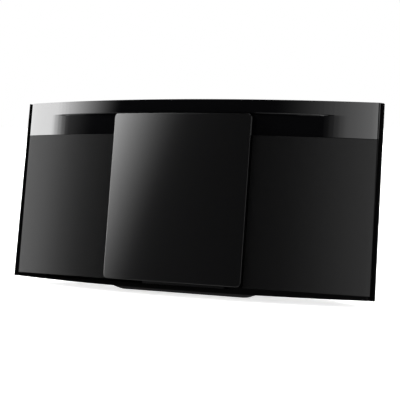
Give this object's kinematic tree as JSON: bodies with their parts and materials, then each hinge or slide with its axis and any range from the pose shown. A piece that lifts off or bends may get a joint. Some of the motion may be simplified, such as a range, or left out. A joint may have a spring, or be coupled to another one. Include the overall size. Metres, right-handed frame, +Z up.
{
  "type": "mini hifi system",
  "caption": "Slim bowed one-piece stereo on a low stand, with a gloss sliding door over an upright disc bay, a top display band and a speaker behind each side grille.",
  "frame": {"origin": "centre of the bounding box on the surface the stand rests on", "axes": "+X to the listener's right along the width, -Y towards the listener, +Z up"},
  "size_m": [0.4098, 0.1068, 0.197],
  "materials": {
    "cabinet_plastic": "fine moulded grain, black",
    "gloss_plastic": "piano black, polished",
    "window_lens": "smoked acrylic lens, polished",
    "grille_metal": "fine punched sheet, painted satin black",
    "rubber": "soft matt",
    "bright_steel": "zinc plated",
    "screw_steel": "black zinc",
    "aluminium": "extruded",
    "white_acetal": "moulded, satin",
    "circuit_board": "solder resist",
    "dark_plastic": "moulded, satin",
    "box_plastic": "moulded, plain",
    "cone_paper": "pressed paper pulp"
  },
  "bodies": {
    "root": {"front_cabinet": "cabinet_plastic", "rear_cabinet": "cabinet_plastic", "left_grille": "grille_metal", "right_grille": "grille_metal", "top_ornament": "gloss_plastic", "display_window": "window_lens", "top_panel": "cabinet_plastic", "button_board": "circuit_board", "lower_door_rail": "bright_steel", "upper_door_rail": "bright_steel", "door_motor": "bright_steel", "disc_bay_plate": "dark_plastic", "disc_chassis": "bright_steel", "spindle_motor": "bright_steel", "left_guide_rod": "bright_steel", "right_guide_rod": "bright_steel", "sled_motor": "bright_steel", "left_speaker_box": "box_plastic", "right_speaker_box": "box_plastic", "left_driver_basket": "bright_steel", "right_driver_basket": "bright_steel", "left_driver_magnet": "bright_steel", "right_driver_magnet": "bright_steel", "main_board": "circuit_board", "power_board": "circuit_board", "display_module": "dark_plastic", "heat_sink": "aluminium", "ac_inlet": "dark_plastic", "aux_jack": "dark_plastic", "antenna_socket": "dark_plastic", "upper_left_screw": "screw_steel", "lower_left_screw": "screw_steel", "upper_right_screw": "screw_steel", "lower_right_screw": "screw_steel", "left_stand_screw": "screw_steel", "right_stand_screw": "screw_steel", "stand": "cabinet_plastic", "foot_front_left": "rubber", "foot_front_right": "rubber", "foot_rear_left": "rubber", "foot_rear_right": "rubber"},
    "door": {"sliding_door": "gloss_plastic", "door_rack": "white_acetal"},
    "drive_gear": {"door_drive_gear": "white_acetal"},
    "pinion": {"motor_pinion": "white_acetal"},
    "turntable": {"turntable_hub": "dark_plastic"},
    "sled": {"pickup_sled": "dark_plastic"},
    "sled_wheel": {"sled_gear": "white_acetal"},
    "left_cone_body": {"left_cone": "cone_paper", "left_surround": "rubber"},
    "right_cone_body": {"right_cone": "cone_paper", "right_surround": "rubber"},
    "power_key": {"power_button": "gloss_plastic"},
    "source_key": {"source_button": "gloss_plastic"},
    "pairing_key": {"pairing_button": "gloss_plastic"},
    "volume_down_key": {"volume_down_button": "gloss_plastic"},
    "volume_up_key": {"volume_up_button": "gloss_plastic"},
    "stop_key": {"stop_button": "gloss_plastic"},
    "play_pause_key": {"play_pause_button": "gloss_plastic"},
    "open_close_key": {"open_close_button": "gloss_plastic"}
  },
  "joints": [
    {"name": "door_slide", "type": "hinge", "parent": "root", "child": "door", "pos_m": [0, 0.71066, -0.10665], "axis": [0, -0.1564, -0.9877], "range_deg": [0, 9.1]},
    {"name": "drive_gear_spin", "type": "hinge", "parent": "root", "child": "drive_gear", "pos_m": [-0.058, -0.02708, 0.01526], "axis": [0, -0.1564, -0.9877], "range_deg": [-2, 868.2]},
    {"name": "motor_pinion_spin", "type": "hinge", "parent": "root", "child": "pinion", "pos_m": [-0.058, -0.00784, 0.01525], "axis": [0, -0.1564, -0.9877], "range_deg": [-2424.2, 4]},
    {"name": "turntable_spin", "type": "hinge", "parent": "root", "child": "turntable", "pos_m": [0.016, -0.02014, 0.09516], "axis": [0, -0.9877, 0.1564], "continuous": true},
    {"name": "pickup_travel", "type": "slide", "parent": "root", "child": "sled", "axis": [0, -0.1564, -0.9877], "range_m": [0, 0.033]},
    {"name": "sled_gear_spin", "type": "hinge", "parent": "root", "child": "sled_wheel", "pos_m": [0.0461, -0.01245, 0.06256], "axis": [0, -0.9877, 0.1564], "range_deg": [-2, 240]},
    {"name": "left_cone_travel", "type": "slide", "parent": "root", "child": "left_cone_body", "axis": [-0.179, -0.9717, 0.1539], "range_m": [-0.002, 0.002], "stiffness_N_per_m": 800},
    {"name": "right_cone_travel", "type": "slide", "parent": "root", "child": "right_cone_body", "axis": [0.179, -0.9717, 0.1539], "range_m": [-0.002, 0.002], "stiffness_N_per_m": 800},
    {"name": "power_press", "type": "slide", "parent": "root", "child": "power_key", "axis": [0, -0.1564, -0.9877], "range_m": [0, 0.0008], "stiffness_N_per_m": 500, "springref_m": -0.0004},
    {"name": "source_press", "type": "slide", "parent": "root", "child": "source_key", "axis": [0, -0.1564, -0.9877], "range_m": [0, 0.0008], "stiffness_N_per_m": 500, "springref_m": -0.0004},
    {"name": "pairing_press", "type": "slide", "parent": "root", "child": "pairing_key", "axis": [0, -0.1564, -0.9877], "range_m": [0, 0.0008], "stiffness_N_per_m": 500, "springref_m": -0.0004},
    {"name": "volume_down_press", "type": "slide", "parent": "root", "child": "volume_down_key", "axis": [0, -0.1564, -0.9877], "range_m": [0, 0.0008], "stiffness_N_per_m": 500, "springref_m": -0.0004},
    {"name": "volume_up_press", "type": "slide", "parent": "root", "child": "volume_up_key", "axis": [0, -0.1564, -0.9877], "range_m": [0, 0.0008], "stiffness_N_per_m": 500, "springref_m": -0.0004},
    {"name": "stop_press", "type": "slide", "parent": "root", "child": "stop_key", "axis": [0, -0.1564, -0.9877], "range_m": [0, 0.0008], "stiffness_N_per_m": 500, "springref_m": -0.0004},
    {"name": "play_pause_press", "type": "slide", "parent": "root", "child": "play_pause_key", "axis": [0, -0.1564, -0.9877], "range_m": [0, 0.0008], "stiffness_N_per_m": 500, "springref_m": -0.0004},
    {"name": "open_close_press", "type": "slide", "parent": "root", "child": "open_close_key", "axis": [0, -0.1564, -0.9877], "range_m": [0, 0.0008], "stiffness_N_per_m": 500, "springref_m": -0.0004}
  ],
  "couplings": [
    {"joint": "drive_gear_spin", "follows": "door_slide", "ratio": 94.747},
    {"joint": "motor_pinion_spin", "follows": "door_slide", "ratio": -265.29},
    {"joint": "sled_gear_spin", "follows": "pickup_travel", "rad_per_m": 125}
  ]
}
